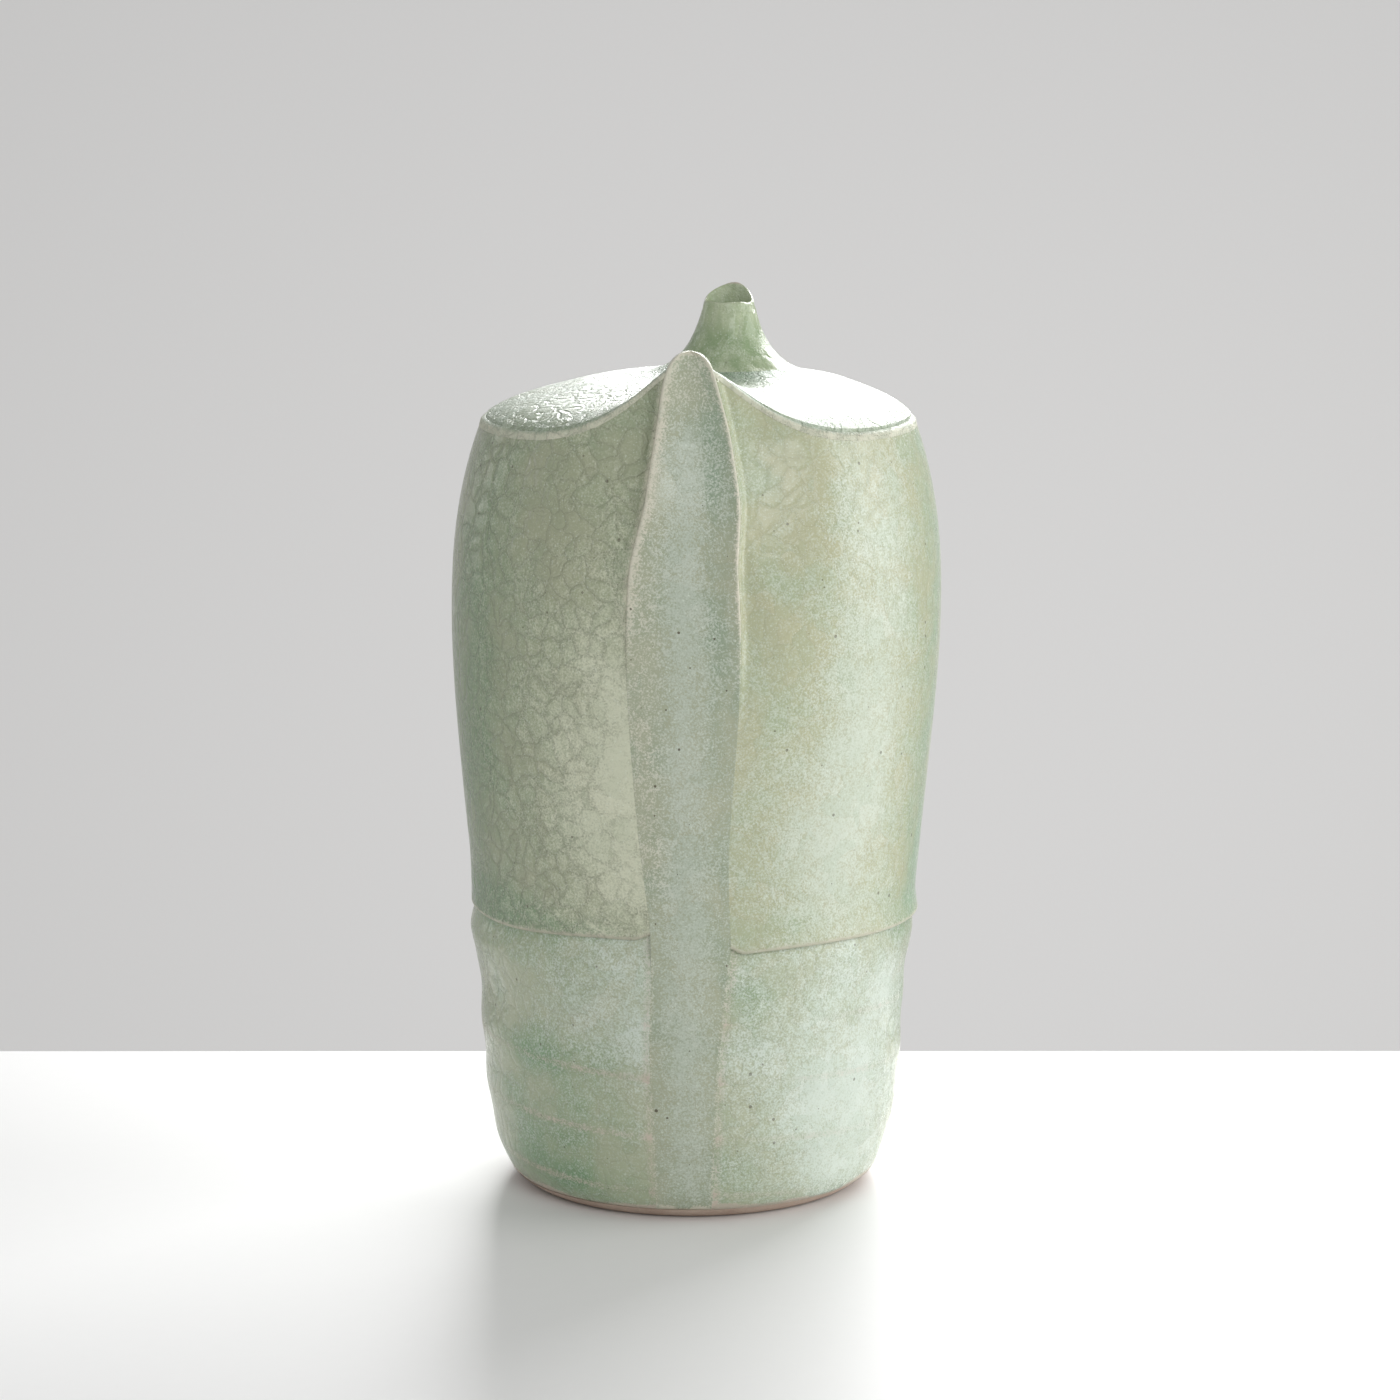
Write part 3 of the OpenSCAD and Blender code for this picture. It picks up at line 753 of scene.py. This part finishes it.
# Painted shade: the right half of the groove, which faces away from the light, is darkened, most in a line
# beside the right ridge.
painted_groove_shade = 0.35 * np.exp(-np.square((x - 3.5) / 2)) * smooth((z - 85) / 10)
pool_and_shade = painted_groove_shade + 0.15 * smooth((x - 3) / 3)
thin = np.maximum(np.maximum(ridge, seam_line), np.maximum(crest, foot) + tongue_top + wiped_and_painted_light)
coat(strip_mesh, *(np.concatenate([layer + 0 * x, 0 * x], 1) for layer in (thin, pool_and_shade, bloom)))
strip_mesh.materials.append(strip_glaze)
clay_piece("rolled_front_strip", "front_strip", strip_mesh)

# ---- Top slab ----
# The top is a rolled slab, laid over the walls' edges while soft, so that it tents up to the neck and
# sweeps up behind the tongue. Its cut edge shows all round as a pale rounded band.

neck_low, neck_high = (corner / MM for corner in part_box("neck"))
neck_x = (neck_low.x + neck_high.x) / 2
neck_y = (neck_low.y + neck_high.y) / 2
skirt_r = (neck_high.x - neck_low.x) / 2
cover_rise = 11.5
neck_base_z = rim_z + cover_rise * (1 - skirt_r / rim_r)


def flare(r):
    """How far the clay is drawn up into the neck, above the top's slope."""
    return 8.9 * np.exp(-(r - 5.3) / 2.9)


top_glaze = glaze_material(
    "top_slab_celadon", (0.38, 0.44, 0.31), (0.22, 0.33, 0.21), (0.52, 0.59, 0.50), (0.66, 0.65, 0.52),
    cell=3.2, graininess=0.9, lines=0.4, gloss=0.26, furrow=0.7)
shares = np.power(np.linspace(0, 1, 120), 1.3)
contour, lower_edge, turns = [], [], []
for side in (1, -1):
    edge_z = swept_edge(mix(tongue_angle, pi, shares))
    points, angle = panel_points(side, shares, edge_z, np.zeros_like(shares))
    below, angle = panel_points(side, shares, edge_z - slab_edge, np.zeros_like(shares))
    direction = mix(tongue_angle, pi, shares)
    if side > 0:
        contour.append(points)
        lower_edge.append(below[:, :2])
        turns.append(direction)
    else:
        contour.append(points[-2::-1])
        lower_edge.append(below[-2::-1, :2])
        turns.append(2 * pi - direction[-2::-1])
notch_x = strip_middle(sweep_z) + 0.98 * float(half_width(sweep_z)) * np.linspace(-1, 1, 21)
notch_r = upper_r(sweep_z) - wall_t
notch_y = -np.sqrt(notch_r ** 2 - np.square(notch_x - middle(sweep_z)))
notch = np.stack([notch_x, notch_y, 0 * notch_x + sweep_z], -1)
contour = np.concatenate(contour + [notch])
lower_edge = np.concatenate(lower_edge + [notch[:, :2]])
stretch = np.ones(len(contour))
stretch[-len(notch):] = 1 - wall_t / (upper_r(sweep_z) + neck_y - skirt_r)
turns = np.concatenate(turns + [tongue_angle * np.linspace(-0.76, 0.76, 21)])
hole = np.stack([neck_x + skirt_r * np.sin(turns), neck_y - skirt_r * np.cos(turns)], -1)


def slab_row(t, drop, pull_in=0.0):
    """A row round the slab: t is 0 at the neck's skirt and 1 at the edge."""
    flat = mix(hole, mix(contour[:, :2], lower_edge, min(drop / slab_edge, 1)), t)
    outward = contour[:, :2] / np.linalg.norm(contour[:, :2], axis=1, keepdims=True)
    flat = flat - outward * pull_in
    from_neck = np.hypot(flat[:, 0] - neck_x, flat[:, 1] - neck_y)
    along = t * stretch
    rise = mix(neck_base_z, rim_z, along) + (contour[:, 2] - rim_z) * np.power(along, 2.2)
    bulge = 1.9 * (1 - np.power(along, 9)) * smooth(along / 0.5)
    return np.concatenate([flat, (rise + flare(from_neck) + bulge - drop)[:, None]], 1)


upper_ts = np.sin(np.linspace(0, pi / 2, 46))
rows = [slab_row(t, 0.0) for t in upper_ts[:-1] * 0.975]
half_edge = slab_edge / 2
for turn in np.radians(np.linspace(90, 0, 8)):
    rows.append(slab_row(1.0, half_edge - half_edge * np.sin(turn), half_edge * (1 - np.cos(turn)) - 0.15))
rows += [slab_row(1.0, slab_edge, -0.05), slab_row(1.0, slab_edge, 3.9)]
rows += [slab_row(t, slab_t) for t in (0.86, 0.7, 0.5, 0.3, 0.1, 0.0)]
rows = np.array(rows)
slab_mesh = lofted("rolled_top_slab", rows, whole_ring=True)
ring = np.arange(len(rows))[:, None] + 0 * rows[..., 0]
first_edge, last_edge = len(upper_ts) - 1, len(upper_ts) + 8
on_edge = (ring >= first_edge) & (ring <= last_edge)
edge_band = np.where(on_edge, 0.2 + 0.6 * smooth((ring - first_edge) / 7), 0)
edge_band = np.maximum(edge_band, 0.2 * np.exp(-np.square((ring - first_edge) / 2.5)) * (ring < first_edge))
angle = np.arctan2(rows[..., 0], -rows[..., 1])
edge_band = edge_band * (0.6 + 0.4 * patch(angle, 0, (0, 0), (100, 1)))
skirt_pool = 0.6 * np.exp(-np.square((np.hypot(rows[..., 0] - neck_x, rows[..., 1] - neck_y) - 12) / 6))
slab_bloom = 0.45 + 0.3 * np.sin(2.3 * angle + 1) + 0.2 * np.cos(5 * angle)
coat(slab_mesh, edge_band, skirt_pool, slab_bloom)
slab_mesh.materials.append(top_glaze)
clay_piece("rolled_top_slab", "top_slab", slab_mesh)

# ---- Neck ----
# The neck is thrown separately, drawn up thin and cut with an oblique mouth whose back lip is left high.
# Its flared skirt is luted into the top, and the glaze inside it pools deep green, darkened further down as
# painted shade; the inner wall near the lip is lightened as painted light.

neck_glaze = glaze_material(
    "neck_celadon", (0.47, 0.53, 0.35), (0.27, 0.36, 0.20), (0.62, 0.68, 0.53), clay_edge, cell=7,
    graininess=0.5, lines=0.08, gloss=0.08, streaks=1.4, pits=0.3)
mouth_z = rim_z + 21.4
lip_top = neck_high.z
bore_r = 3.2
bore_z = mouth_z - 8.4
peak = radians(20)


def neck_z(r):
    return rim_z + cover_rise * (1 - r / rim_r) + flare(r)


radii = np.concatenate([np.linspace(skirt_r, 7, 26), np.linspace(6.9, 5.15, 20)])
neck_outline = [(float(r), float(neck_z(r))) for r in radii]
neck_outline += [(5.0, mouth_z - 1.7), (4.88, mouth_z - 0.9), (4.75, mouth_z - 0.4), (4.58, mouth_z - 0.1),
                 (4.4, mouth_z), (4.22, mouth_z - 0.12), (4.08, mouth_z - 0.5), (3.8, mouth_z - 1.5)]
neck_outline += [(bore_r, float(z)) for z in np.linspace(mouth_z - 3.2, bore_z, 8)]
skirt_foot_z = neck_base_z - slab_t
neck_outline += [(4.2, bore_z - 1.6), (6.0, bore_z - 3.4), (9.0, skirt_foot_z), (skirt_r, skirt_foot_z)]
neck_mesh = turned(
    "drawn_neck", neck_outline, neck_glaze, stations=120, axis=(neck_x, neck_y), marks=(0.0, 4, 200))
spots, _, _ = place_of(neck_mesh)
around = np.arctan2(spots[:, 0] - neck_x, spots[:, 1] - neck_y)
reach = np.hypot(spots[:, 0] - neck_x, spots[:, 1] - neck_y)
steepness = np.where(around < peak, 1.3, 2.1)
lift = (lip_top - mouth_z) * np.power(np.clip(np.cos((around - peak) * 0.84), 0, 1), steepness)
lift = lift - 0.4 * patch(around, 0, (95, 0), (30, 1)) + 0.06 * np.sin(5 * around)
share = smooth((spots[:, 2] - (mouth_z - 7)) / 7)
was_high = smooth((spots[:, 2] - (mouth_z - 3)) / 3)
spots[:, 2] += lift * share
pinch = 0.5 * np.power(np.clip(np.cos(around - peak), 0, 1), 2) * was_high
spots[:, 0] -= pinch * np.sin(around)
spots[:, 1] -= pinch * np.cos(around)
neck_mesh.vertices.foreach_set("co", (spots * MM).ravel())
inside = (reach < 4.3) & (spots[:, 2] > bore_z - 4)
lip = smooth((spots[:, 2] - (mouth_z + lift - 0.35)) / 0.3)
apex = patch(around, 0, (20, 0), (22, 1))
# Inside the mouth the glaze pools deeper further down, with painted shade deeper in the bore.
inner_pool_and_shade = 0.25 + 0.4 * smooth((mouth_z - 0.5 - spots[:, 2]) / 2)
neck_pool = np.where(inside, inner_pool_and_shade, 0.25 + 0.4 * np.exp(-np.square((reach - 8) / 3)))
# Painted light: the inside gets more bloom than the outside, for light falling on the inner wall through the
# mouth.
coat(neck_mesh, lip * (0.25 + 0.65 * apex), neck_pool, np.where(inside, 0.25, 0.15))
clay_piece("drawn_neck", "neck", neck_mesh)

# ---- Studio ----
# A white table top whose back edge is just behind the bottle, and a grey backdrop. A strong soft box stands
# behind, with weaker ones on the right and in front, a faint one on the left and a wash on the backdrop.


def plain_material(name, colour, roughness):
    material, tree, surface = clean_material(name)
    place = tree.nodes.new("ShaderNodeTexCoord").outputs["Object"]
    shade = mixed(tree, noise(tree, place, 300, 2), tuple(c * 0.985 for c in colour), colour)
    coat_of_paint = add_node(tree, "ShaderNodeBsdfPrincipled", {"Base Color": shade, "Roughness": roughness})
    tree.links.new(coat_of_paint.outputs[0], surface)
    return material


def slab_on_stage(name, low, high, rounding, material):
    mesh = bpy.data.meshes.new(name)
    shape = bmesh.new()
    bmesh.ops.create_cube(shape, size=1)
    for vertex in shape.verts:
        vertex.co = Vector(mix(low[k], high[k], vertex.co[k] + 0.5) for k in range(3))
    if rounding:
        bmesh.ops.bevel(shape, geom=shape.edges[:], offset=rounding, segments=3, affect="EDGES")
    bmesh.ops.recalc_face_normals(shape, faces=shape.faces)
    shape.to_mesh(mesh)
    shape.free()
    piece = bpy.data.objects.new(name, mesh)
    bpy.context.scene.collection.objects.link(piece)
    mesh.materials.append(material)
    return piece


white_table = plain_material("white_table", (0.84, 0.84, 0.835), 0.5)
grey_paper = plain_material("grey_paper", (0.62, 0.615, 0.61), 0.9)
slab_on_stage("table_top", (-1.6, -1.6, -0.03), (1.6, 0.093, 0), 0.0015, white_table)
slab_on_stage("backdrop", (-4, 3.2, -2.5), (4, 3.25, 4), 0, grey_paper)


def soft_box(name, place, aim, width, height, power):
    light = bpy.data.lights.new(name, "AREA")
    light.shape = "RECTANGLE"
    light.size = width
    light.size_y = height
    light.energy = power
    lamp = bpy.data.objects.new(name, light)
    lamp.location = place
    lamp.rotation_euler = (Vector(aim) - Vector(place)).to_track_quat("-Z", "Y").to_euler()
    bpy.context.scene.collection.objects.link(lamp)


soft_box("key_behind", (0.33, 1.08, 0.61), (0, 0, 0.08), 1.0, 0.55, 20)
soft_box("left_rim", (-0.95, 0.75, 0.3), (0, 0, 0.1), 0.25, 0.6, 0.6)
soft_box("right_side", (1.0, -0.05, 0.27), (0, 0, 0.07), 0.7, 0.9, 5.6)
soft_box("front_fill", (0.45, -1.4, 0.9), (0, 0, 0.08), 1.0, 0.8, 7.5)
soft_box("backdrop_wash", (0.3, 0.9, -0.75), (0, 3.2, 0), 2.0, 0.6, 37)

world = bpy.data.worlds.new("studio")
world.use_nodes = True
world.node_tree.nodes["Background"].inputs["Color"].default_value = (1, 1, 1, 1)
world.node_tree.nodes["Background"].inputs["Strength"].default_value = 0.42
bpy.context.scene.world = world
bpy.context.scene.view_settings.view_transform = "Standard"

camera = bpy.data.cameras.new("camera")
camera.lens = 124.7
camera.sensor_width = 36
camera.clip_end = 50
viewer = bpy.data.objects.new("camera", camera)
viewer.location = (0.00154, -0.9169, 0.2644)
viewer.rotation_euler = (radians(90 - 10.55), 0, 0)
bpy.context.scene.collection.objects.link(viewer)
bpy.context.scene.camera = viewer
